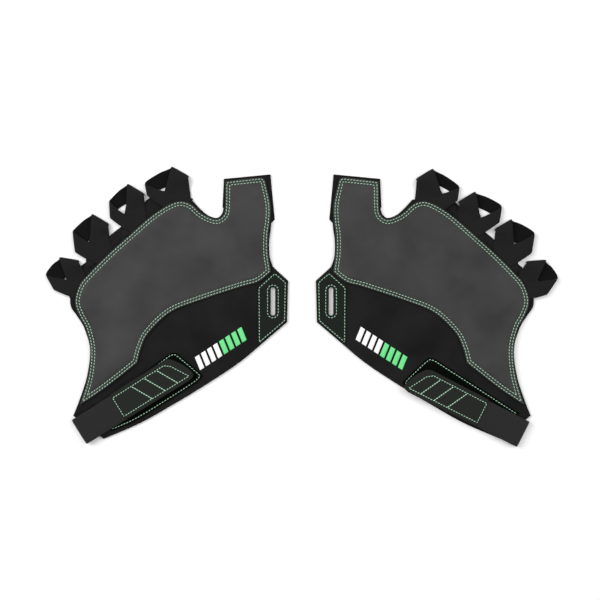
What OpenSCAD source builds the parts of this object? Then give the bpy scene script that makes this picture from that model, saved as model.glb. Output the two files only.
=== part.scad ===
// Pair of crack-climbing gloves, laid flat with the backs of the hands up.
// X runs from the left glove to the right glove, Y towards the fingers, Z up from the table.
// Every outline below is given for the right glove; the left glove is its mirror image in X = 0.

/* [Cloth stack] */
// Thickness of the lining
lining_t = 0.8; // [0.5:0.1:1.2]
// Thickness of the back panel
panel_t = 1.2; // [0.8:0.1:2]
// Thickness of the rubber patch
rubber_t = 2; // [1.2:0.1:3]
// Thickness of the slot reinforcement
slot_patch_t = 0.9; // [0.5:0.1:1.5]
// Thickness of the loop-side landing patch
landing_t = 1.2; // [0.8:0.1:1.4]

/* [Strap slot] */
// Length of the stadium slot, end to end
slot_l = 19; // [15:0.5:22]
// Width of the slot
slot_w = 3; // [2:0.2:4]

/* [Wrist strap] */
// Width of the strap webbing
strap_w = 19; // [15:0.5:20]
// Length of the strap from its fold to its free end
strap_l = 72; // [60:1:74]
// Thickness of the strap webbing
strap_t = 1.2; // [0.8:0.1:1.4]
// Thickness of the hook strip under the strap
hook_t = 1.2; // [0.8:0.1:1.2]
// Thickness of the pull tab on the strap
tab_t = 1; // [0.6:0.1:1]
// Air between the hook strip and the landing patch
hook_gap = 0.3; // [0.3:0.1:0.5]
// Sewn length of the strap inside the cuff
anchor_l = 17; // [10:1:25]

/* [Finger loops] */
// Thickness of the loop webbing
web_t = 0.9; // [0.6:0.1:0.9]
// Height of the middle of the webbing where it lies lowest
web_low = 0.85; // [0.85:0.05:0.95]
// Height of the middle of the webbing where it lies on top
web_high = 2.75; // [2.75:0.05:2.8]
// Free space each side of a loop's hinge line
hinge_gap = 0.2; // [0.15:0.05:0.4]

/* [Hidden] */

// Shift that puts the origin under the middle of the pair's box
centre_x = -0.08;
centre_y = 0.885;

// Heights of the layers
panel_z = lining_t;
top_z = panel_z + panel_t;
hook_z = top_z + landing_t + hook_gap;
strap_z = hook_z + hook_t;

// A smooth line through the points p, without its last point
steps = 5;
function at(p, i) = p[min(max(i, 0), len(p) - 1)];
function spline(a, b, c, d, t) =
    0.5 * (2 * b + (c - a) * t + (2 * a - 5 * b + 4 * c - d) * t * t + (3 * b - a - 3 * c + d) * t * t * t);
function curve(p) = len(p) == 2 ? [p[0]] :
    [for (i = [0 : len(p) - 2], k = [0 : steps - 1])
        spline(at(p, i - 1), p[i], p[i + 1], at(p, i + 2), k / steps)];
// An outline made of stretches, each starting where the one before it ended, with corners between
function outline(stretches) = [for (s = stretches) each curve(s)];

// Body of the glove: thumb tab, notch, knuckles, outer side, cuff, slot tab
panel_outline = outline([
    [[21.2, 87.8], [52.4, 84.8]],
    [[52.4, 84.8], [52.6, 68]],
    [[52.6, 68], [53.5, 63], [57, 59.8], [63, 61.5], [68.5, 66], [74, 72]],
    [[74, 72], [82, 72.6], [90.5, 70], [101.7, 62.6], [114.8, 51.2], [130.4, 37.6], [144.2, 23.8],
        [151, 16.2], [155.2, 7], [155, 0], [151, -6], [146, -14.5], [142.3, -28.5], [144.2, -46],
        [149.2, -62], [153.5, -73]],
    [[153.5, -73], [133, -88.5]],
    [[133, -88.5], [108, -77.6], [86.5, -65.5], [69, -55], [50, -42.8], [38.5, -34.5], [28, -25.6], [10, -10.2]],
    [[10, -10.2], [9.3, 17.6]],
    [[9.3, 17.6], [19.5, 27]],
    [[19.5, 27], [21.7, 34], [22, 44], [20.8, 54], [20.4, 64], [21.2, 87.8]]
]);

// Rubber over the back of the hand and up the thumb tab
rubber_outline = outline([
    [[27.6, 86.8], [51.3, 84.3]],
    [[51.3, 84.3], [51.5, 68]],
    [[51.5, 68], [52.5, 62], [57, 58.8], [62.8, 60.4], [68.2, 63.5], [74.3, 68.9], [81.5, 71], [89.6, 68.4],
        [100.8, 61.2], [113.8, 49.9], [129.2, 36.1], [142.7, 22.6], [148.8, 15.3], [151.8, 7], [151.7, 0.4],
        [148.7, -6.9], [144.6, -14.9], [141.7, -28.8], [143.4, -47], [148.9, -65.8]],
    [[148.9, -65.8], [132, -54.6], [110.2, -37.5]],
    [[110.2, -37.5], [107.6, -27.5], [102.4, -17.2], [88.2, -3.8], [68.5, 4.3], [41.5, 13.2], [29.6, 16.6],
        [20.8, 23.4]],
    [[20.8, 23.4], [22.6, 36], [22.6, 48.5], [21.3, 58.5], [21.3, 69], [23.9, 81.5], [25.2, 85.6], [27.6, 86.8]]
]);

// Reinforcement round the strap slot
slot_patch_outline = outline([
    [[18.2, 23.6], [10.2, 16.8]], [[10.2, 16.8], [10.7, -9.6]], [[10.7, -9.6], [29.5, -25.6]],
    [[29.5, -25.6], [29.8, 13.2]], [[29.8, 13.2], [18.2, 23.6]]
]);
slot_at = [19.5, 3.7];

// Loop-side patch on the cuff, and how each glove's patch is shifted and turned about its inner corner
landing_outline = outline([
    [[71.5, -50.8], [67.8, -47], [69.6, -43.8], [82.8, -31.2], [86.4, -29.7], [90, -30.9]],
    [[90, -30.9], [146, -67]], [[146, -67], [130, -80]],
    [[130, -80], [112, -73], [84, -58], [71.5, -50.8]]
]);
landing_corner = [90, -30.9];
left_landing = [0, -1, -3.5];
right_landing = [0, -4.2, 0];

// Back layer of the thumb loop, a little wider than the tab at its sewn base
thumb_outline = [[21.2, 89], [52.5, 86], [53.4, 67], [47, 60], [23, 53.6], [18.3, 58.8]];
thumb_fold = [[21.2, 89], [52.5, 86], [52.4, 84.8], [21.2, 87.8]];
// What the lining leaves to the thumb loop's back layer
tab_cut = [[15, 95], [60, 95], [54, 67], [47, 59.8], [22.9, 53.3], [15, 57.8]];

// Wrist strap: middle of its fold and the direction in which it lies back over the cuff
left_strap = [149.4, -83.9, 148];
right_strap = [148.3, -85.4, 153];
fold_r = 2.5;
tab_outline = outline([
    [[82, 9.8], [31.5, 9.4]], [[31.5, 9.4], [31.5, -10.2]], [[31.5, -10.2], [73.5, -10.6]],
    [[73.5, -10.6], [78, -8.8], [82.5, -2.5], [85.5, 4.5], [85.2, 8.3], [82, 9.8]]
]);
hook_span = [38, 73];

// Knuckle line: all loops of a glove hinge parallel to it, so that none sweeps into the next
knuckle_dir = -39;
tail_l = 11;
web_mid = (web_low + web_high) / 2;
web_root = 1.4;

// Each loop: corner of its first fold, turn, far and near corner of its second fold and rise of the
// band's lower edge between the folds, all in the loop's own frame, then the distance of its hinge
// line from the origin and the sewn tail's span along the knuckle line
left_loops = [
    [87.9, 94, -2, [17.1, -9.7], [16.2, -18.8], 0.3, 112.8, 14, 33.2],
    [117.3, 82.4, 0, [11.3, -10.6], [11.1, -22.6], 3, 113.2, 36, 61.5],
    [141.1, 62.2, 0, [12, -10.6], [10.8, -25], 0.4, 112.6, 66.5, 93.5],
    [163, 33, -22, [11.8, -6.6], [10.8, -18.9], 0.2, 109.8, 96.5, 116]
];
right_loops = [
    [88.3, 92.6, 0, [16.4, -11.2], [15.6, -21], 4.4, 112.8, 14, 35],
    [116.6, 77.2, 0, [16.6, -9], [15.4, -20.2], 3.4, 113.2, 40, 66],
    [140.9, 58.7, 0, [14.4, -8.6], [12.8, -22.2], 0.5, 112.6, 69.5, 94],
    [163.9, 31.2, -27, [11.6, -6.4], [10.4, -20.2], 0.2, 109.8, 97.5, 116]
];

// Edge of the lining between the loops: distance along the knuckle line, distance from the origin
left_web = [[14, 106], [20, 115], [28, 117.4], [32.5, 121.4], [37, 121.4], [41, 118.8], [58, 118.4],
    [70, 118.4], [78, 117], [90, 115], [98, 114.8], [103, 111], [110, 104]];
right_web = [[14, 106], [20, 113.6], [29, 116], [34, 119], [38, 119.4], [42, 118], [56, 116.5],
    [70, 116.5], [78, 115.6], [90, 114], [98, 113.8], [103, 110], [110, 104]];

// One finger loop, from the root of its first leg, over two folds, to the root of its second leg.
// Each row is a station: outer edge, inner edge, height of the webbing's middle, and how far the
// station follows the corners of the second fold and the rise of the band's lower edge.
far_corner = [11.6, -10.4];
near_corner = [10.8, -24.2];
loop_stations = [
    [[3.5, -36], [-13, -27], web_root, 0, 0],
    [[3.5, -28], [-12.6, -21], web_root, 0, 0],
    [[1.8, -19.4], [-12, -15], web_root, 0, 0],
    [[0.6, -13.4], [-11.8, -11.6], 2.5, 0, 0],
    [[0.1, -6.5], [-11.7, -9.2], web_high, 0, 0],
    [[-0.1, -1.3], [-11.4, -7.9], web_high, 0, 0],
    [[-0.2, 0.1], [-11.6, -6.8], web_mid, 0, 0],
    [[0.8, -1.1], [-10.8, -8], web_low, 0, 0],
    [[5, -3.7], [-3.4, -14], web_low, 0.4, 0.9],
    [[8.9, -7.2], [5, -20], web_low, 0.8, 0.9],
    [[11.1, -9.5], [9.6, -23], web_low, 1, 0.2],
    [[11.9, -10.8], [10.8, -24.2], web_mid, 1, 0],
    [[10.9, -12.4], [9.6, -25.6], web_high, 1, 0],
    [[3.2, -16.2], [3.4, -29.6], web_high, 0.6, 0],
    [[-5.4, -19.4], [-3, -33], web_high, 0.2, 0],
    [[-14, -21.8], [-9.5, -37], web_high, 0, 0]
];
function raised(p, z) = [p[0], p[1], z];
function station(s, f) = [
    raised(s[0] + s[3] * (f[3] - far_corner), s[2]),
    raised(s[1] + s[3] * (f[4] - near_corner) + [0, s[4] * f[5]], s[2])
];
web_steps = 3;
function web_pair(p, i, t) = [for (e = [0, 1])
    spline(at(p, i - 1)[e], p[i][e], p[i + 1][e], at(p, i + 2)[e], t)];
function web_line(p) = concat(
    [for (i = [0 : len(p) - 2], k = [0 : web_steps - 1]) web_pair(p, i, k / web_steps)],
    [p[len(p) - 1]]);
function unit(v) = v / norm(v);

module on_side(side) {
    translate([-centre_x, -centre_y, 0]) mirror([side == "left" ? 1 : 0, 0, 0]) children();
}

module sheet(points, z, t) {
    translate([0, 0, z]) linear_extrude(t) polygon(points);
}

module slot_hole() {
    straight = slot_l - slot_w;
    translate([slot_at[0], slot_at[1], -1]) {
        for (e = [-1, 1]) translate([0, e * straight / 2, 0]) cylinder(h = 8, d = slot_w, $fn = 32);
        translate([-slot_w / 2, -straight / 2, 0]) cube([slot_w, straight, 8]);
    }
}

module strap_frame(pose) {
    translate([pose[0], pose[1], 0]) rotate(pose[2]) children();
}

module strip(u0, u1, w, z, t) {
    translate([u0, -w / 2, z]) cube([u1 - u0, w, t]);
}

module anchor_strip(pose) {
    strap_frame(pose) strip(fold_r + 0.4, fold_r + anchor_l, strap_w, panel_z, panel_t);
}

// Flat end of one loop, between its hinge line and the space under the rubber
module tail(f) {
    rotate(knuckle_dir) translate([f[7], f[6] - hinge_gap - tail_l, panel_z])
        cube([f[8] - f[7], tail_l, panel_t]);
}

module lining(side, web) {
    color("dimgray") on_side(side) difference() {
        union() {
            sheet(panel_outline, 0, lining_t);
            rotate(knuckle_dir) sheet(web, 0, lining_t);
        }
        translate([0, 0, -1]) linear_extrude(4) polygon(tab_cut);
        slot_hole();
    }
}

module back_panel(side, loops, pose) {
    color([0.11, 0.11, 0.11]) on_side(side) difference() {
        sheet(panel_outline, panel_z, panel_t);
        slot_hole();
        for (f = loops) tail(f);
        anchor_strip(pose);
    }
}

module rubber_patch(side) {
    color([0.26, 0.26, 0.26]) on_side(side) sheet(rubber_outline, top_z, rubber_t);
}

module slot_patch(side) {
    color([0.13, 0.15, 0.13]) on_side(side) difference() {
        sheet(slot_patch_outline, top_z, slot_patch_t);
        slot_hole();
    }
}

module thumb_band(side) {
    color([0.09, 0.09, 0.09]) on_side(side) {
        sheet(thumb_outline, 0, lining_t - 0.2);
        sheet(thumb_fold, 0, top_z);
    }
}

module landing_patch(side, pose) {
    color([0.14, 0.14, 0.15]) on_side(side)
        translate([landing_corner[0] + pose[0], landing_corner[1] + pose[1], 0]) rotate(pose[2])
            translate(-landing_corner) sheet(landing_outline, top_z, landing_t);
}

module strap_anchor(side, pose) {
    color([0.18, 0.18, 0.18]) on_side(side) anchor_strip(pose);
}

module wrist_strap(side, pose) {
    color([0.2, 0.2, 0.2]) on_side(side) strap_frame(pose) strip(fold_r, strap_l, strap_w, strap_z, strap_t);
}

module hook_patch(side, pose) {
    color([0.12, 0.12, 0.12]) on_side(side)
        strap_frame(pose) strip(hook_span[0], hook_span[1], strap_w - 1, hook_z, hook_t);
}

module pull_tab(side, pose) {
    color([0.13, 0.15, 0.14]) on_side(side) strap_frame(pose) sheet(tab_outline, strap_z + strap_t, tab_t);
}

// Webbing swept through the stations: four corners a station, flat ends
module webbing(p) {
    line = web_line(p);
    last = len(line) - 1;
    corners = [for (i = [0 : last])
        let(a = line[i][0], b = line[i][1],
            before = line[max(i - 1, 0)], after = line[min(i + 1, last)],
            along = (after[0] + after[1]) - (before[0] + before[1]),
            up = unit(cross(along, a - b)) * web_t / 2)
        each [a + up, b + up, b - up, a - up]];
    sides = [for (i = [0 : last - 1], k = [0 : 3])
        let(p0 = 4 * i + k, p1 = 4 * i + (k + 1) % 4)
        each [[p0, p1, p1 + 4], [p0, p1 + 4, p0 + 4]]];
    end = 4 * last;
    caps = [[0, 3, 2], [0, 2, 1], [end, end + 1, end + 2], [end, end + 2, end + 3]];
    polyhedron(corners, concat(sides, caps), convexity = 6);
}

module finger_loop(side, f) {
    color([0.1, 0.1, 0.1]) on_side(side) intersection() {
        translate([f[0], f[1], 0]) rotate(f[2])
            webbing([for (s = loop_stations) station(s, f)]);
        rotate(knuckle_dir) translate([-20, f[6] + hinge_gap, -5]) cube([180, 60, 20]);
    }
}

module loop_tails(side, loops) {
    color([0.1, 0.1, 0.1]) on_side(side) for (f = loops) tail(f);
}

lining("left", left_web);  // left_lining
back_panel("left", left_loops, left_strap);  // left_back_panel
rubber_patch("left");  // left_rubber_patch
slot_patch("left");  // left_slot_patch
thumb_band("left");  // left_thumb_band
landing_patch("left", left_landing);  // left_landing_patch
strap_anchor("left", left_strap);  // left_strap_anchor
wrist_strap("left", left_strap);  // left_wrist_strap
hook_patch("left", left_strap);  // left_hook_patch
pull_tab("left", left_strap);  // left_pull_tab
finger_loop("left", left_loops[0]);  // left_index_loop
finger_loop("left", left_loops[1]);  // left_middle_loop
finger_loop("left", left_loops[2]);  // left_ring_loop
finger_loop("left", left_loops[3]);  // left_little_loop
loop_tails("left", left_loops);  // left_loop_tails
lining("right", right_web);  // right_lining
back_panel("right", right_loops, right_strap);  // right_back_panel
rubber_patch("right");  // right_rubber_patch
slot_patch("right");  // right_slot_patch
thumb_band("right");  // right_thumb_band
landing_patch("right", right_landing);  // right_landing_patch
strap_anchor("right", right_strap);  // right_strap_anchor
wrist_strap("right", right_strap);  // right_wrist_strap
hook_patch("right", right_strap);  // right_hook_patch
pull_tab("right", right_strap);  // right_pull_tab
finger_loop("right", right_loops[0]);  // right_index_loop
finger_loop("right", right_loops[1]);  // right_middle_loop
finger_loop("right", right_loops[2]);  // right_ring_loop
finger_loop("right", right_loops[3]);  // right_little_loop
loop_tails("right", right_loops);  // right_loop_tails
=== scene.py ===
"""Pair of crack-climbing gloves, laid flat with the backs of the hands up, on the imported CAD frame.

Lengths are in millimetres until a mesh is made. Glove coordinates are the right glove's, with X
pointing outwards from the thumb side; the left glove is the mirror image.
"""

import math

import bmesh
import bpy
import numpy as np
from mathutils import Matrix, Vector
from mathutils.geometry import delaunay_2d_cdt


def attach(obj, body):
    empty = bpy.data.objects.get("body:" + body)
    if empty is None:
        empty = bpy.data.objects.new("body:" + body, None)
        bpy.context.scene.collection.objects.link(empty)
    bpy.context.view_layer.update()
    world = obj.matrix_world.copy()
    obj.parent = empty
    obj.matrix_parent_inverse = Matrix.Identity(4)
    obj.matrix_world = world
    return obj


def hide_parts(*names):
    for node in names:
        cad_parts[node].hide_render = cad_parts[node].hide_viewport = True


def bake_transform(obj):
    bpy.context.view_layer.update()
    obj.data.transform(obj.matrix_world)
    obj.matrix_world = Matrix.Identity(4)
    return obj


MM = 0.001
SIDES = ("left", "right")
FINGERS = ("index", "middle", "ring", "little")

# Where the middle plane of the pair lies in the frame
ORIGIN = (0.08, -0.885)

# Upper face of each layer above the table
LINING_TOP = 0.8
PANEL_TOP = 2.0
RUBBER_TOP = 4.0
SLOT_PATCH_TOP = 2.9
LANDING_TOP = 3.2
STRAP_TOP = 5.9
TAB_TOP = 6.9

# Seams: distance of each row from the edge of its piece
RUBBER_ROWS = (1.1, 2.9)
SLOT_PATCH_ROW = 1.0
LANDING_ROW = 1.5
STITCH_PITCH = 2.1
STITCH_LENGTH = 1.55
THREAD_RADIUS = 0.21
FINE_THREAD_RADIUS = 0.2

# Each stitch, from end to end: place along it, height and thickness as shares, and its sideways bow
STITCH_SPOTS = np.array([-1, -0.72, 0, 0.72, 1])
STITCH_HEIGHTS = np.array([-0.38, 0.06, 0.14, 0.06, -0.38])
STITCH_TAPER = np.array([0.7, 1, 1.08, 1, 0.7])
STITCH_BOW = 0.1
STITCH_FLATNESS = 0.85
THREAD_SIDES = 7

# Middle of each strap's fold and the direction in which the strap lies back over the cuff
STRAP_FOLD = {"left": (149.4, -83.9, 148), "right": (148.3, -85.4, 153)}
STRAP_WIDTH = 19
STRAP_LENGTH = 72
STRAP_THICKNESS = 1.2
STRAP_ANCHOR = 19.4

# The strap's runs in the cuff and over it, the round of its fold, and where the middle of its fold lies
# along the strap and above the table
STRAP_LOWER = 1.4
STRAP_UPPER = 5.3
FOLD_RADIUS = 1.95
FOLD_CENTRE = (2.5, 3.35)

# Ground that stays flat for the strap: how far it reaches along the strap, and half its width
FLAT_FOR_STRAP = (-2, 92)
FLAT_HALF_WIDTH = 13

# Pull tab's seam in strap coordinates: a closed ring, and rungs that start at these places
TAB_RING = [(31.7, -7.4), (71.9, -7.7), (75.7, -4.8), (82.6, 7.1), (31.6, 6.9)]
TAB_RUNGS = (46.4, 56.6, 66.4)
TAB_RUNG = ((0, -7.2), (7.5, 7))

# Hook tape in strap coordinates, its lower and upper face, and the middle line of one hook
HOOK_TAPE = [(38, -9), (73, -9), (73, 9), (38, 9)]
HOOK_TAPE_LOW = 4.15
HOOK_TAPE_HIGH = 4.7
HOOK_ROWS = np.arange(39.5, 72, 1.5)
HOOK_COLUMNS = np.arange(-8, 8.1, 1.25)
HOOK_LINE = np.array([(0, 4.2), (0, 3.95), (0.1, 3.72), (0.32, 3.6), (0.52, 3.68), (0.58, 3.86)])
HOOK_RADIUS = 0.13
HOOK_SIDES = 5

# Slot for the strap and the ring of stitches about it
SLOT_AT = (19.5, 3.7)
SLOT_RING = (7.2, 22)

# Back layer of the thumb loop, and its fold over the tab's end
THUMB_BACK_TOP = 0.6
THUMB_FOLD = (0.3, 2.1)

# Middle of the plain mark on each cuff
MARK_AT = {"left": (54.5, -27.9), "right": (53.3, -27.7)}
MARK_INCLINE = math.radians(-33.2)
BAR_COUNT = 8
BAR_PITCH = 4.85
BAR_WIDTH = 3.4
BAR_HEIGHT = 9.2
BAR_SLANT = -0.9
BAR_THICKNESS = 0.15

# Direction of the knuckle line along which the finger loops hinge
KNUCKLE_DIR = math.radians(-39)
WEB_THICKNESS = 0.9
LOOP_BEND = 1.2

# Each loop: corner of its first fold, turn, far and near corner of its second fold, rise of the
# band's lower edge between the folds, distance of its hinge line from the origin, and how far its
# first run leans towards the hole and its last run dips away from it
LOOPS = {
    "left": [
        ((87.9, 94), -2, (17.1, -9.7), (16.2, -18.8), 0.3, 112.8, 4.3, 0),
        ((117.3, 82.4), 0, (11.3, -10.6), (11.1, -22.6), 3, 113.2, 0, 3),
        ((141.1, 62.2), 0, (12, -10.6), (10.8, -25), 0.8, 112.6, 0.3, 1.4),
        ((163, 33), -22, (11.8, -6.6), (10.8, -18.9), 0.2, 109.8, 0, 0),
    ],
    "right": [
        ((88.3, 92.6), 0, (16.4, -11.2), (15.6, -21), 4.1, 112.8, 5.2, 0),
        ((116.6, 77.2), 0, (16.6, -9), (15.4, -20.2), 3.4, 113.2, 2.3, 0.8),
        ((140.9, 58.7), 0, (14.4, -8.6), (12.8, -22.2), 0.5, 112.6, 0.5, 0),
        ((163.9, 31.2), -27, (11.6, -6.4), (10.4, -20.2), 0.2, 109.8, 0, 0),
    ],
}
# Stations that lean or dip, with their share of it
LEANING = {0: 1, 1: 1, 2: 1, 3: 0.75, 4: 0.35}
DIPPING = {13: 1, 14: 1, 15: 0.8}
# Corners of the second fold for which the stations below are given
FAR_CORNER = np.array([11.6, -10.4])
NEAR_CORNER = np.array([10.8, -24.2])
# Stations of the webbing: outer edge, inner edge, height of its middle, and how far the station
# follows the corners of the second fold and the rise of the band's lower edge
LOOP_STATIONS = [
    ((3.5, -36), (-13, -27), 1.4, 0, 0), ((3.5, -28), (-12.6, -21), 1.4, 0, 0),
    ((1.8, -19.4), (-12, -15), 1.6, 0, 0), ((0.6, -13.4), (-11.8, -11.6), 2.9, 0, 0),
    ((0.1, -6.5), (-11.7, -9.2), 4.4, 0, 0), ((-0.1, -1.3), (-11.4, -7.9), 3.9, 0, 0),
    ((-0.2, 0.1), (-11.6, -6.8), 2.3, 0, 0), ((0.8, -1.1), (-10.8, -8), 0.9, 0, 0),
    ((5, -3.7), (-3.4, -14), 0.7, 0.4, 0.9), ((8.9, -7.2), (5, -20), 0.7, 0.8, 0.9),
    ((11.1, -9.5), (9.6, -23), 0.9, 1, 0.2), ((11.9, -10.8), (10.8, -24.2), 2.3, 1, 0),
    ((10.9, -12.4), (9.6, -25.6), 3.8, 1, 0), ((3.2, -16.2), (3.4, -29.6), 3.6, 0.6, 0),
    ((-5.4, -19.4), (-3, -33), 2.1, 0.2, 0), ((-14, -21.8), (-9.5, -37), 1.4, 0, 0),
]

# Studio: lights as name, place, size and power, all aimed at the middle of the pair
LIGHTS = [
    ("key", (-0.85, 0.35, 1.0), 0.8, 11),
    ("fill", (0.9, 0.2, 1.0), 0.8, 6.5),
    ("top", (0, 0.1, 1.7), 1.6, 14),
]
SKY_STRENGTH = 0.15
FLOOR_HALF_SIZE = 2500
FLOOR_DROP = 0.05
CAMERA_AT = (-0.00126, 0.0038, 1.12)
CAMERA_LENS = 100
CAMERA_SENSOR = 36

# Points handled at a time when distances are taken
CHUNK = 1500

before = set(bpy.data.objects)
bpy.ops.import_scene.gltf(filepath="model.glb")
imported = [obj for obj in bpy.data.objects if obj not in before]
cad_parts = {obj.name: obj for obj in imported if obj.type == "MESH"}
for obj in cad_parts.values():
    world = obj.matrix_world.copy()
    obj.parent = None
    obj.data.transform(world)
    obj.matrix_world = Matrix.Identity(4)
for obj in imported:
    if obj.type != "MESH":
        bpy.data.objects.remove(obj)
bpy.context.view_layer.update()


# ---------------------------------------------------------------- outlines

def place(points, side):
    """Glove coordinates to the frame."""
    out = np.array(points, float)
    out[..., 0] = (-1 if side == "left" else 1) * out[..., 0] + ORIGIN[0]
    out[..., 1] += ORIGIN[1]
    return out


def strap_points(points, side):
    """Points (u along the strap, v across it) to the frame."""
    x, y, turn = STRAP_FOLD[side]
    c, s = math.cos(math.radians(turn)), math.sin(math.radians(turn))
    uv = np.array(points, float)
    out = uv.copy()
    out[..., 0] = x + c * uv[..., 0] - s * uv[..., 1]
    out[..., 1] = y + s * uv[..., 0] + c * uv[..., 1]
    return place(out, side)


def area(loop):
    """Area in the loop, positive when it runs counter-clockwise."""
    x, y = loop[:, 0], loop[:, 1]
    return 0.5 * float(np.sum(x * np.roll(y, -1) - y * np.roll(x, -1)))


def node_loops(node, top=True):
    """Outlines of a CAD node's upper or lower face: the outer one first, counter-clockwise."""
    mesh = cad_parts[node].data
    points = np.array([v.co for v in mesh.vertices]) / MM
    keys = [tuple(p) for p in np.round(points[:, :2], 3)]
    heights = points[:, 2]
    level = heights.max() if top else heights.min()
    edges = set()
    for face in mesh.polygons:
        ring = list(face.vertices)
        if all(abs(heights[i] - level) < 0.01 for i in ring):
            corners = [keys[i] for i in ring]
            edges.update(zip(corners, corners[1:] + corners[:1]))
    ahead = {a: b for a, b in edges if (b, a) not in edges}
    loops = []
    while ahead:
        a, b = ahead.popitem()
        loop = [a]
        while b != a:
            loop.append(b)
            b = ahead.pop(b)
        loops.append(np.array(loop))
    loops.sort(key=lambda p: -abs(area(p)))
    return [facing(loops[0])] + [facing(loop)[::-1] for loop in loops[1:]]


def facing(loop):
    """The loop, turned to run counter-clockwise."""
    return loop if area(loop) > 0 else loop[::-1]


def smooth(loop, step=0.9, corner=28):
    """The loop as a smooth line sampled every step, sharp only at real corners."""
    ahead = np.roll(loop, -1, 0) - loop
    length = np.linalg.norm(ahead, axis=1)
    loop, ahead, length = loop[length > 0.02], ahead[length > 0.02], length[length > 0.02]
    ahead = np.roll(loop, -1, 0) - loop
    length = np.linalg.norm(ahead, axis=1)
    unit = ahead / length[:, None]
    back, back_length = np.roll(unit, 1, 0), np.roll(length, 1)
    sharp = np.einsum("ij,ij->i", unit, back) < math.cos(math.radians(corner))
    mean = ahead + back * back_length[:, None]
    mean /= np.linalg.norm(mean, axis=1)[:, None]
    leaving = np.where(sharp[:, None], unit, mean)
    arriving = np.roll(np.where(sharp[:, None], back, mean), -1, 0)
    out = []
    for p, q, m, n, size in zip(loop, np.roll(loop, -1, 0), leaving, arriving, length):
        count = max(1, round(size / step))
        t = np.arange(count)[:, None] / count
        out.append((2 * t**3 - 3 * t**2 + 1) * p + (t**3 - 2 * t**2 + t) * size * m
                   + (3 * t**2 - 2 * t**3) * q + (t**3 - t**2) * size * n)
    return np.vstack(out)


def to_edge(points, loops):
    """Distance of each point from the nearest of the loops."""
    best = np.full(len(points), 1e9)
    for loop in loops:
        a, d = loop, np.roll(loop, -1, 0) - loop
        square = np.maximum(np.einsum("ij,ij->i", d, d), 1e-12)
        for i in range(0, len(points), CHUNK):
            p = points[i:i + CHUNK, None, :] - a[None]
            t = np.clip(np.einsum("ijk,jk->ij", p, d) / square, 0, 1)
            gap = np.linalg.norm(p - t[..., None] * d[None], axis=2).min(1)
            best[i:i + CHUNK] = np.minimum(best[i:i + CHUNK], gap)
    return best


def inside(points, loops):
    """Which points lie in the cloth bounded by the loops."""
    odd = np.zeros(len(points), bool)
    for loop in loops:
        x0, y0 = loop[:, 0], loop[:, 1]
        x1, y1 = np.roll(x0, -1), np.roll(y0, -1)
        for i in range(0, len(points), CHUNK):
            x, y = points[i:i + CHUNK, 0:1], points[i:i + CHUNK, 1:2]
            spans = (y0 > y) != (y1 > y)
            with np.errstate(divide="ignore", invalid="ignore"):
                right = x < x0 + (y - y0) * (x1 - x0) / (y1 - y0)
            odd[i:i + CHUNK] ^= (spans & right).sum(1) % 2 == 1
    return odd


def inset(loop, loops, distance):
    """The loop moved into the cloth, without the points that end up nearer another edge."""
    ahead = np.roll(loop, -1, 0) - np.roll(loop, 1, 0)
    ahead /= np.linalg.norm(ahead, axis=1)[:, None]
    moved = loop + distance * np.stack([-ahead[:, 1], ahead[:, 0]], 1)
    return moved[to_edge(moved, loops) > 0.97 * distance]


# ---------------------------------------------------------------- how the gloves lie

def step_up(x, low, high):
    """Smooth step from 0 at low to 1 at high."""
    t = np.clip((x - low) / (high - low), 0, 1)
    return t * t * (3 - 2 * t)


def strap_clearance(points, side):
    """Distance of each point from the place under the strap, in the plan."""
    x, y, turn = STRAP_FOLD[side]
    c, s = math.cos(math.radians(turn)), math.sin(math.radians(turn))
    sign = -1 if side == "left" else 1
    dx, dy = sign * (points[:, 0] - ORIGIN[0]) - x, points[:, 1] - ORIGIN[1] - y
    u, v = c * dx + s * dy, -s * dx + c * dy
    beyond = np.maximum(np.maximum(FLAT_FOR_STRAP[0] - u, u - FLAT_FOR_STRAP[1]), 0)
    return np.hypot(beyond, np.maximum(np.abs(v) - FLAT_HALF_WIDTH, 0))


def lift(points, side):
    """How far the glove's layers rise off the table: soft waves that die out at rim and strap."""
    points = np.asarray(points, float)[:, :2]
    x, y = points[:, 0], points[:, 1]
    phase = 0.6 if side == "left" else 2.1
    waves = (1.1 + 0.55 * np.sin(x / 21 + phase) * np.cos(y / 27 - phase)
             + 0.35 * np.sin((x + 1.4 * y) / 15 + 2 * phase) + 0.2 * np.sin((2 * x - y) / 13))
    mask = step_up(to_edge(points, rims[side]), 2, 22) * step_up(strap_clearance(points, side), 0, 14)
    return np.maximum(waves, 0) * mask


# ---------------------------------------------------------------- meshes

def add(name, points, faces, material, body=None, turn_out=True, sharp=50):
    """A named mesh object from points in millimetres, riding on a body if one is given."""
    mesh = bpy.data.meshes.new(name)
    mesh.from_pydata((np.asarray(points) * MM).tolist(), [], faces)
    if turn_out:
        work = bmesh.new()
        work.from_mesh(mesh)
        bmesh.ops.recalc_face_normals(work, faces=work.faces)
        work.to_mesh(mesh)
        work.free()
    mesh.shade_smooth()
    mesh.set_sharp_from_angle(angle=math.radians(sharp))
    mesh.materials.append(materials[material])
    obj = bpy.data.objects.new(name, mesh)
    bpy.context.scene.collection.objects.link(obj)
    if body:
        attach(obj, body)
    return obj


def triangles(loops, extra):
    """Plan mesh of the cloth in the loops: (points, faces)."""
    points, edges = [], []
    for loop in loops:
        first = len(points)
        points.extend(loop.tolist())
        edges.extend((first + i, first + (i + 1) % len(loop)) for i in range(len(loop)))
    points.extend(extra.tolist())
    made = delaunay_2d_cdt(points, edges, [], 0, 1e-4)
    points, faces = np.array(made[0]), np.array(made[2])
    faces = faces[inside(points[faces].mean(1), loops)]
    used = np.unique(faces)
    number = np.full(len(points), -1)
    number[used] = np.arange(len(used))
    return points[used], number[faces]


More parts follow.
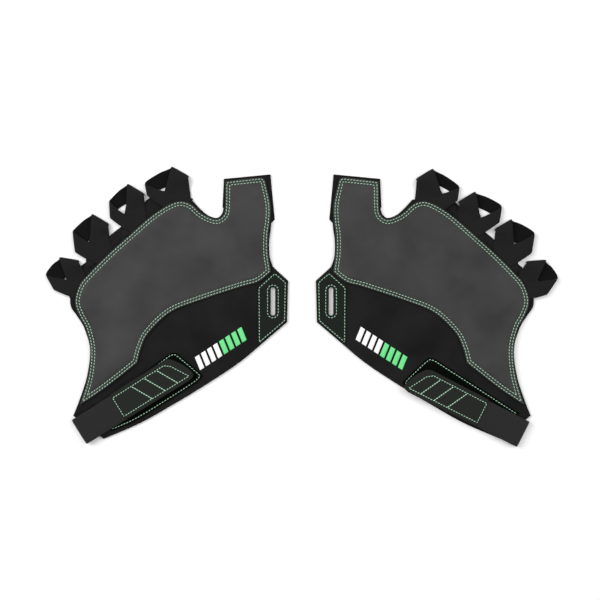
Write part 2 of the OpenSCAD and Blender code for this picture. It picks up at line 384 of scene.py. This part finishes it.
def grid(loops, spacing, margin):
    """Points of a triangular grid in the cloth, at least margin from its edges."""
    low, high = loops[0].min(0), loops[0].max(0)
    rows = np.arange(low[1], high[1], spacing * 0.866)
    points = []
    for i, y in enumerate(rows):
        x = np.arange(low[0] + spacing / 2 * (i % 2), high[0], spacing)
        points.append(np.column_stack([x, np.full(len(x), y)]))
    points = np.vstack(points)
    points = points[inside(points, loops)]
    return points[to_edge(points, loops) > margin]


def cloth(name, loops, low, high, material, body, side=None, soft=0.45, rows=(), groove=0.22,
          spacing=2.6):
    """A flat piece cut to the loops, from low to high, with an upper edge rounded to soft and a
    groove under each row of stitches. With a side it also lies in that glove's waves."""
    distances = [0.18 * soft, 0.5 * soft, soft]
    for row in rows:
        distances += [row - 0.35, row, row + 0.35]
    distances = sorted(d for d in distances if d > 0.05)
    rings = [inset(loop, loops, d) for loop in loops for d in distances]
    middle = grid(loops, spacing, max(distances) + 0.6)
    plan, faces = triangles(loops, np.vstack(rings + [middle]))
    distance = to_edge(plan, loops)
    rise = lift(plan, side) if side else np.zeros(len(plan))
    out = 1 - np.clip(distance / soft, 0, 1)
    top = high + rise - soft * (1 - np.sqrt(1 - out**2))
    for row in rows:
        top -= groove * np.exp(-((distance - row) / 0.32) ** 2)
    count = len(plan)
    points = np.vstack([np.column_stack([plan, top]), np.column_stack([plan, low + rise])])
    ends = np.vstack([faces[:, [0, 1]], faces[:, [1, 2]], faces[:, [2, 0]]]).tolist()
    pairs = dict.fromkeys((a, b) for a, b in ends)
    walls = [(a, b, b + count, a + count) for a, b in pairs if (b, a) not in pairs]
    everything = faces.tolist() + (faces[:, ::-1] + count).tolist() + walls
    return add(name, points, everything, material, body)


def along(path, spots):
    """Points at the given distances along an open path, and the path's length."""
    steps = np.linalg.norm(np.diff(path, axis=0), axis=1)
    travelled = np.concatenate([[0], np.cumsum(steps)])
    at = np.stack([np.interp(spots, travelled, path[:, k]) for k in range(path.shape[1])], -1)
    return at, travelled[-1]


def tube_faces(first, rings, sides):
    """Faces of a closed tube whose rings of points are numbered one after another from first."""
    faces = []
    for a in range(first, first + (rings - 1) * sides, sides):
        faces += [(a + i, a + (i + 1) % sides, a + sides + (i + 1) % sides, a + sides + i)
                  for i in range(sides)]
    last = first + (rings - 1) * sides
    faces.append(tuple(range(first, first + sides))[::-1])
    faces.append(tuple(range(last, last + sides)))
    return faces


def seam(name, path, height, body, side=None, closed=True, pitch=STITCH_PITCH, radius=THREAD_RADIUS,
         length=STITCH_LENGTH):
    """A row of stitches along a plan path: one short bowed thread for every stitch."""
    path = np.vstack([path, path[:1]]) if closed else np.asarray(path, float)
    total = along(path, np.zeros(1))[1]
    count = max(1, round(total / pitch))
    starts = (np.arange(count) + 0.5) * total / count
    spots = np.clip(starts[:, None] + STITCH_SPOTS * length / 2, 0, total)
    middle = along(path, spots)[0]
    ahead = middle[:, -1] - middle[:, 0]
    ahead /= np.linalg.norm(ahead, axis=1)[:, None]
    across = np.stack([-ahead[:, 1], ahead[:, 0]], 1)
    middle = middle + (STITCH_BOW * STITCH_SPOTS)[None, :, None] * across[:, None]
    flat = middle.reshape(-1, 2)
    rise = lift(flat, side) if side else np.zeros(len(flat))
    rise = rise.reshape(middle.shape[:2])
    thick = radius * STITCH_TAPER
    angles = np.arange(THREAD_SIDES) * 2 * math.pi / THREAD_SIDES
    reach = np.cos(angles)[None, None, :, None] * thick[None, :, None, None]
    plan = middle[:, :, None, :] + reach * across[:, None, None, :]
    z = (height + rise + STITCH_HEIGHTS)[:, :, None]
    z = z + np.sin(angles) * thick[None, :, None] * STITCH_FLATNESS
    points = np.concatenate([plan, z[..., None]], -1).reshape(-1, 3)
    rings = len(STITCH_SPOTS)
    faces = []
    for k in range(count):
        faces += tube_faces(k * rings * THREAD_SIDES, rings, THREAD_SIDES)
    return add(name, points, faces, "mint_thread", body)


def curve(rows, steps):
    """A smooth line through the rows of numbers, steps samples from each row to the next."""
    rows = np.asarray(rows, float)
    p = np.vstack([2 * rows[:1] - rows[1:2], rows, 2 * rows[-1:] - rows[-2:-1]])
    out = []
    for i in range(1, len(p) - 2):
        a, b, c, d = p[i - 1], p[i], p[i + 1], p[i + 2]
        t = np.arange(steps)[:, None] / steps
        out.append(0.5 * (2 * b + (c - a) * t + (2 * a - 5 * b + 4 * c - d) * t**2
                          + (3 * b - a - 3 * c + d) * t**3))
    return np.vstack(out + [rows[-1:]])


def ribbon(name, edge_a, edge_b, thickness, material, across=13):
    """Webbing between two edge lines, with rounded edges: (object, length, mean width). Its point attribute
    holds how far along and across the webbing each point is, and 1 on its lower face: the mask for painted
    shade in a loop."""
    a, b = edge_a, edge_b
    middle = (a + b) / 2
    ahead = np.gradient(middle, axis=0)
    up = np.cross(ahead, a - b)
    up *= np.sign(up[0, 2]) / np.linalg.norm(up, axis=1)[:, None]
    share = (1 - np.cos(np.linspace(0, math.pi, across))) / 2
    half = thickness / 2 * np.sqrt(np.clip(1 - np.abs(2 * share - 1) ** 8, 0.02, 1))
    width = np.linalg.norm(a - b, axis=1)
    travelled = np.concatenate([[0], np.cumsum(np.linalg.norm(np.diff(middle, axis=0), axis=1))])
    flat = a[:, None] + share[None, :, None] * (b - a)[:, None]
    upper = flat + half[None, :, None] * up[:, None]
    lower = flat - half[None, :, None] * up[:, None]
    ring = np.concatenate([upper, lower[:, ::-1]], 1)
    count, around = ring.shape[:2]
    obj = add(name, ring.reshape(-1, 3), tube_faces(0, count, around), material)
    weave_and_shade = np.zeros((count, around, 3))
    weave_and_shade[..., 0] = travelled[:, None]
    weave_and_shade[..., 1] = np.concatenate([share, share[::-1]])[None] * width[:, None]
    # Lower face set to 1: the mask for the painted shade inside the finger loops
    weave_and_shade[:, across:, 2] = 1
    layer = obj.data.attributes.new("weave_and_shade", "FLOAT_VECTOR", "POINT")
    layer.data.foreach_set("vector", weave_and_shade.reshape(-1))
    return obj, travelled[-1], float(width.mean())


# ---------------------------------------------------------------- materials

def shader(name, colour, roughness, specular, sheen):
    """A plain material and its shader node."""
    material = bpy.data.materials.new(name)
    material.use_nodes = True
    node = material.node_tree.nodes["Principled BSDF"]
    node.inputs["Base Color"].default_value = (*colour, 1)
    node.inputs["Roughness"].default_value = roughness
    node.inputs["Specular IOR Level"].default_value = specular
    node.inputs["Sheen Weight"].default_value = sheen
    node.inputs["Sheen Roughness"].default_value = 0.4
    return material, node


def node_of(material, kind, **values):
    """A new node of the material, with its properties or inputs set to the values."""
    node = material.node_tree.nodes.new(kind)
    for key, value in values.items():
        if hasattr(node, key):
            setattr(node, key, value)
        else:
            node.inputs[key.replace("_", " ")].default_value = value
    return node


def join(material, source, target):
    material.node_tree.links.new(source, target)


def pattern_space(material, webbing=False):
    """Coordinates in millimetres: those of the piece at rest, or along and across a webbing."""
    if webbing:
        return node_of(material, "ShaderNodeAttribute", attribute_name="weave_and_shade").outputs["Vector"]
    coordinates = node_of(material, "ShaderNodeTexCoord").outputs["Object"]
    scale = node_of(material, "ShaderNodeVectorMath", operation="SCALE")
    scale.inputs["Scale"].default_value = 1 / MM
    join(material, coordinates, scale.inputs[0])
    return scale.outputs["Vector"]


def grain(material, shader_node, space, scale, depth, detail=4.0):
    """Fine relief of the surface, from noise of the given size and depth in millimetres."""
    noise = node_of(material, "ShaderNodeTexNoise", Scale=1 / scale, Detail=detail, Roughness=0.6)
    bump = node_of(material, "ShaderNodeBump", Strength=1.0, Distance=depth * MM)
    join(material, space, noise.inputs["Vector"])
    join(material, noise.outputs["Fac"], bump.inputs["Height"])
    join(material, bump.outputs["Normal"], shader_node.inputs["Normal"])


def mottle(material, shader_node, space, dark, light, size, contrast):
    """Soft patches from the dark to the light colour."""
    noise = node_of(material, "ShaderNodeTexNoise", Scale=1 / size, Detail=2.0)
    ramp = node_of(material, "ShaderNodeValToRGB")
    for stop, position, colour in zip(ramp.color_ramp.elements, contrast, (dark, light)):
        stop.position = position
        stop.color = (*colour, 1)
    join(material, space, noise.inputs["Vector"])
    join(material, noise.outputs["Fac"], ramp.inputs["Fac"])
    join(material, ramp.outputs["Color"], shader_node.inputs["Base Color"])


def painted_inside_shade(material, shader_node, space, colour, share):
    """Painted shade inside a loop: the webbing's lower face, which is the inside of a loop, gets a darker
    shade of its colour, standing in for the shade that falls there.
    """
    parts = node_of(material, "ShaderNodeSeparateXYZ")
    blend = node_of(material, "ShaderNodeMix", data_type="RGBA")
    blend.inputs["A"].default_value = (*colour, 1)
    blend.inputs["B"].default_value = (*(share * c for c in colour), 1)
    join(material, space, parts.inputs[0])
    join(material, parts.outputs["Z"], blend.inputs["Factor"])
    join(material, blend.outputs["Result"], shader_node.inputs["Base Color"])


def weave_relief(material, shader_node, space, pitch_along, pitch_across, depth):
    """Relief of crossing yarns: a product of one wave along the piece and one across it."""
    waves = []
    one_wave_per_unit = 0.314159
    for direction, pitch in (("X", pitch_along), ("Y", pitch_across)):
        wave = node_of(material, "ShaderNodeTexWave", wave_type="BANDS", bands_direction=direction,
                       Scale=one_wave_per_unit / pitch, Distortion=0.35)
        join(material, space, wave.inputs["Vector"])
        waves.append(wave.outputs["Fac"])
    both = node_of(material, "ShaderNodeMath", operation="MULTIPLY")
    bump = node_of(material, "ShaderNodeBump", Strength=1.0, Distance=depth * MM)
    join(material, waves[0], both.inputs[0])
    join(material, waves[1], both.inputs[1])
    join(material, both.outputs[0], bump.inputs["Height"])
    join(material, bump.outputs["Normal"], shader_node.inputs["Normal"])


def grey(value, tint=(1, 1, 1)):
    """A grey of the given brightness, slightly tinted."""
    return tuple(value * t for t in tint)


def make_materials():
    """Every finish of the gloves, by the name of its slot."""
    made = {}

    def new(name, colour, roughness, specular, sheen=0.0, webbing=False):
        made[name], node = shader(name, colour, roughness, specular, sheen)
        return made[name], node, pattern_space(made[name], webbing)

    panel = new("black_microfibre", grey(0.0085), 0.8, 0.10, 0.05)
    mottle(*panel, grey(0.0062), grey(0.0105), 24, (0.35, 0.65))
    grain(*panel, 0.5, 0.10)
    rubber = new("grey_rubber", grey(0.036), 0.5, 0.25)
    mottle(*rubber, grey(0.0165), grey(0.0335), 26, (0.3, 0.7))
    grain(*rubber, 0.7, 0.10, detail=6)
    weave_relief(*new("lining_knit", grey(0.0125), 0.9, 0.08, 0.05), 0.9, 0.7, 0.25)
    grain(*new("reinforcement", grey(0.0105, (0.85, 1.15, 0.9)), 0.75, 0.10, 0.05), 0.45, 0.12)
    grain(*new("loop_pile", grey(0.0028, (0.9, 1.2, 0.9)), 1.0, 0.01, 0.05), 0.6, 0.7, detail=8)
    new("hook_tape", grey(0.02), 0.5, 0.4)
    weave_relief(*new("strap_webbing", grey(0.02), 0.75, 0.12, 0.08, webbing=True), 0.9, 0.9, 0.22)
    webbing = new("finger_webbing", grey(0.013), 0.8, 0.08, 0.05, webbing=True)
    # Painted shade: the lower face of the finger webbing, the inside of each loop, is painted at 0.35 of
    # its colour
    painted_inside_shade(*webbing, grey(0.013), 0.35)
    weave_relief(*webbing, 0.8, 0.8, 0.18)
    grain(*new("tab_microfibre", grey(0.0135, (0.9, 1.1, 0.92)), 0.72, 0.12, 0.06), 0.45, 0.12)
    grain(*new("mint_thread", (0.42, 0.68, 0.49), 0.55, 0.2, 0.1), 0.25, 0.08)
    new("white_film", grey(0.9), 0.5, 0.3)
    new("green_film", (0.14, 0.72, 0.24), 0.5, 0.3)
    new("floor", grey(0.96), 0.9, 0.0)
    return made


# ---------------------------------------------------------------- pieces


def loops_of(node, top=True, step=0.9):
    """Smooth outlines of a CAD node's upper or lower face."""
    return [smooth(p, step) for p in node_loops(node, top)]


def glove_layers(side):
    """The flat layers of one glove, with their seams."""
    body = f"{side}_glove"
    lining_loops = loops_of(f"{side}_lining", step=1.4)
    lining = cloth(f"{side}_lining_knit", lining_loops, 0, LINING_TOP, "lining_knit", body, side,
                   0.3, spacing=3.5)
    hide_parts(f"{side}_lining")

    panel_loops = loops_of(f"{side}_back_panel", step=1.0)
    panel = cloth(f"{side}_panel", panel_loops, LINING_TOP, PANEL_TOP, "black_microfibre", body, side, 0.45)
    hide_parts(f"{side}_back_panel")

    rubber_loops = loops_of(f"{side}_rubber_patch", step=0.8)
    rubber = cloth(f"{side}_rubber", rubber_loops, PANEL_TOP, RUBBER_TOP, "grey_rubber", body, side, 0.6,
                   rows=RUBBER_ROWS, groove=0.25)
    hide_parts(f"{side}_rubber_patch")
    for number, row in enumerate(RUBBER_ROWS):
        seam(f"{side}_rubber_seam_{number + 1}", inset(rubber_loops[0], rubber_loops, row),
             RUBBER_TOP - 0.12, body, side)

    patch_loops = loops_of(f"{side}_slot_patch", step=0.7)
    patch = cloth(f"{side}_slot_reinforcement", patch_loops, PANEL_TOP, SLOT_PATCH_TOP, "reinforcement",
                  body, side, 0.35, rows=(SLOT_PATCH_ROW,), groove=0.15, spacing=2)
    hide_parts(f"{side}_slot_patch")
    seam(f"{side}_slot_patch_seam", inset(patch_loops[0], patch_loops[:1], SLOT_PATCH_ROW),
         SLOT_PATCH_TOP - 0.05, body, side, radius=FINE_THREAD_RADIUS)
    seam(f"{side}_slot_ring", stadium(side, *SLOT_RING), SLOT_PATCH_TOP, body, side,
         radius=FINE_THREAD_RADIUS)

    landing_loops = loops_of(f"{side}_landing_patch", step=0.8)
    landing = cloth(f"{side}_landing_pile", landing_loops, PANEL_TOP, LANDING_TOP, "loop_pile", body, None,
                    0.5, rows=(LANDING_ROW,), groove=0.25)
    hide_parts(f"{side}_landing_patch")
    seam(f"{side}_landing_seam", inset(landing_loops[0], landing_loops, LANDING_ROW),
         LANDING_TOP - 0.1, body, radius=FINE_THREAD_RADIUS)


def stadium(side, width, length):
    """Round-ended ring about the strap slot."""
    radius, straight = width / 2, length - width
    turn = np.linspace(0, math.pi, 13)
    upper = np.column_stack([radius * np.cos(turn), radius * np.sin(turn) + straight / 2])
    ring = np.vstack([upper, -upper])
    return facing(place(ring + np.array(SLOT_AT), side))


def thumb_band(side):
    """Back layer of the thumb loop, folded over the end of the thumb tab."""
    body = f"{side}_glove"
    loops = loops_of(f"{side}_thumb_band", top=False)
    band = cloth(f"{side}_thumb_back", loops, 0, THUMB_BACK_TOP, "black_microfibre", body, None, 0.25)
    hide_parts(f"{side}_thumb_band")
    fold_loops = loops_of(f"{side}_thumb_band", top=True, step=0.6)
    cloth(f"{side}_thumb_fold", fold_loops, *THUMB_FOLD, "black_microfibre", body, None, 0.5, spacing=1)


def logo_bars(side):
    """Plain slanting bars, half of them white and half green, where the cuff carries its print."""
    centre = np.array(MARK_AT[side])
    ahead = np.array([math.cos(MARK_INCLINE), math.sin(MARK_INCLINE)])
    across = np.array([-ahead[1], ahead[0]])
    half, reach = BAR_WIDTH / 2, BAR_HEIGHT / 2
    corners = [(-half - BAR_SLANT, -reach), (half - BAR_SLANT, -reach),
               (half + BAR_SLANT, reach), (-half + BAR_SLANT, reach)]
    for number in range(BAR_COUNT):
        middle = (number - (BAR_COUNT - 1) / 2) * BAR_PITCH
        loop = facing(place([centre + (middle + u) * ahead + v * across for u, v in corners], side))
        white = (number < BAR_COUNT // 2) == (side == "right")
        film = "white_film" if white else "green_film"
        cloth(f"{side}_print_bar_{number + 1}", [smooth(loop, 0.8)], PANEL_TOP,
              PANEL_TOP + BAR_THICKNESS, film, f"{side}_glove", side, 0.06, spacing=1.5)


def finger_loop(side, index):
    """One loop of webbing: from under the rubber, over its two folds and back."""
    finger = FINGERS[index]
    corner, turn, far, near, rise, hinge, lean, dip = LOOPS[side][index]
    rows = []
    for station, (outer, inner, height, share, raised) in enumerate(LOOP_STATIONS):
        outer = outer + np.array([lean * LEANING.get(station, 0), -dip * DIPPING.get(station, 0)])
        outer += share * (far - FAR_CORNER)
        inner = inner + share * (near - NEAR_CORNER) + (0, raised * rise)
        rows.append([*outer, *inner, height])
    line = curve(rows, 7)
    c, s = math.cos(math.radians(turn)), math.sin(math.radians(turn))
    turned = np.array([[c, s], [-s, c]])
    edges = [place(line[:, k:k + 2] @ turned + corner, side) for k in (0, 2)]
    a, b = (np.column_stack([e, line[:, 4]]) for e in edges)
    obj, length, width = ribbon(f"{side}_{finger}_webbing", a, b, WEB_THICKNESS, "finger_webbing")
    normal = np.array([-math.sin(KNUCKLE_DIR), math.cos(KNUCKLE_DIR)])
    foot = place([normal * (hinge - LOOP_BEND), normal * (hinge + LOOP_BEND)], side) * MM
    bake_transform(obj)
    nodes = [f"{side}_{finger}_loop"] + ([f"{side}_loop_tails"] if index == 0 else [])
    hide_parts(*nodes)


def wrist_strap(side):
    """The strap from its sewn end in the cuff, round the fold and back over the cuff."""
    centre_u, centre_z = FOLD_CENTRE
    bend = np.linspace(-math.pi / 2, -3 * math.pi / 2, 15)
    line = [(u, STRAP_LOWER) for u in np.linspace(STRAP_ANCHOR, centre_u + 1, 12)]
    line += [(centre_u + FOLD_RADIUS * math.cos(t), centre_z + FOLD_RADIUS * math.sin(t)) for t in bend]
    line += [(u, STRAP_UPPER) for u in np.linspace(centre_u + 1, STRAP_LENGTH, 48)]
    line = np.array(line)
    half = STRAP_WIDTH / 2
    edges = [np.column_stack([strap_points([(u, v) for u in line[:, 0]], side), line[:, 1]])
             for v in (-half, half)]
    obj, length, width = ribbon(f"{side}_strap_webbing", *edges, STRAP_THICKNESS, "strap_webbing",
                                across=17)
    foot = strap_points([(0, 0)], side)[0] * MM
    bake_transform(obj)
    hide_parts(f"{side}_wrist_strap", f"{side}_strap_anchor")


def pull_tab(side):
    """Stiff tab on the end of the strap, with its ladder of stitches."""
    body = f"{side}_strap"
    loops = loops_of(f"{side}_pull_tab", step=0.8)
    tab = cloth(f"{side}_tab", loops, STRAP_TOP, TAB_TOP, "tab_microfibre", body, None, 0.45, spacing=2)
    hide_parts(f"{side}_pull_tab")
    seam(f"{side}_tab_seam", strap_points(TAB_RING, side), TAB_TOP, body,
         radius=0.22, pitch=1.9, length=1.45)
    for number, start in enumerate(TAB_RUNGS):
        rung = strap_points([(start + u, v) for u, v in TAB_RUNG], side)
        seam(f"{side}_tab_rung_{number + 1}", rung, TAB_TOP, body, closed=False,
             radius=0.3, pitch=1.7, length=1.6)


def hook_patch(side):
    """Hook tape under the strap: a backing strip with rows of small bent hooks."""
    body = f"{side}_strap"
    loops = [smooth(facing(strap_points(HOOK_TAPE, side)), 1.0)]
    tape = cloth(f"{side}_hook_tape", loops, HOOK_TAPE_LOW, HOOK_TAPE_HIGH, "hook_tape", body, None,
                 0.15, spacing=3)
    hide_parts(f"{side}_hook_patch")

    du, z = HOOK_LINE.T
    ahead = np.gradient(HOOK_LINE, axis=0)
    ahead /= np.linalg.norm(ahead, axis=1)[:, None]
    angles = np.arange(HOOK_SIDES) * 2 * math.pi / HOOK_SIDES
    out, sideways = HOOK_RADIUS * np.cos(angles), HOOK_RADIUS * np.sin(angles)
    hook = np.stack([du[:, None] - out * ahead[:, 1:], np.broadcast_to(sideways, (len(du), HOOK_SIDES)),
                     z[:, None] + out * ahead[:, :1]], -1).reshape(-1, 3)
    points, faces = [], []
    for u in HOOK_ROWS:
        for v in HOOK_COLUMNS:
            faces += tube_faces(len(points) * len(hook), len(HOOK_LINE), HOOK_SIDES)
            points.append(hook + (u, v, 0))
    points = np.vstack(points)
    plan = strap_points(points[:, :2], side)
    add(f"{side}_hooks", np.column_stack([plan, points[:, 2]]), faces, "hook_tape", body)


# ---------------------------------------------------------------- stage

def area_light(name, at, size, power):
    """A square light aimed at the origin."""
    light = bpy.data.lights.new(name, "AREA")
    light.shape = "SQUARE"
    light.size = size
    light.energy = power
    obj = bpy.data.objects.new(name, light)
    bpy.context.scene.collection.objects.link(obj)
    obj.location = at
    obj.rotation_euler = (-Vector(at)).to_track_quat("-Z", "Y").to_euler()


def stage():
    """White floor, soft lights, and a camera that looks straight down."""
    points = [(FLOOR_HALF_SIZE * i, FLOOR_HALF_SIZE * j, -FLOOR_DROP)
              for i, j in ((-1, -1), (1, -1), (1, 1), (-1, 1))]
    floor = add("floor", points, [(0, 1, 2, 3)], "floor", turn_out=False)
    for light in LIGHTS:
        area_light(*light)
    world = bpy.data.worlds.new("studio")
    world.use_nodes = True
    sky = world.node_tree.nodes["Background"]
    sky.inputs["Color"].default_value = (1, 1, 1, 1)
    sky.inputs["Strength"].default_value = SKY_STRENGTH
    bpy.context.scene.world = world
    camera = bpy.data.cameras.new("camera")
    camera.lens = CAMERA_LENS
    camera.sensor_width = CAMERA_SENSOR
    obj = bpy.data.objects.new("camera", camera)
    bpy.context.scene.collection.objects.link(obj)
    obj.location = CAMERA_AT
    bpy.context.scene.camera = obj
    bpy.context.scene.view_settings.view_transform = "Standard"


materials = make_materials()
rims = {side: node_loops(f"{side}_back_panel") for side in SIDES}
stage()
for side in SIDES:
    glove_layers(side)
    thumb_band(side)
    logo_bars(side)
    wrist_strap(side)
    hook_patch(side)
    pull_tab(side)
    for index in range(len(FINGERS)):
        finger_loop(side, index)
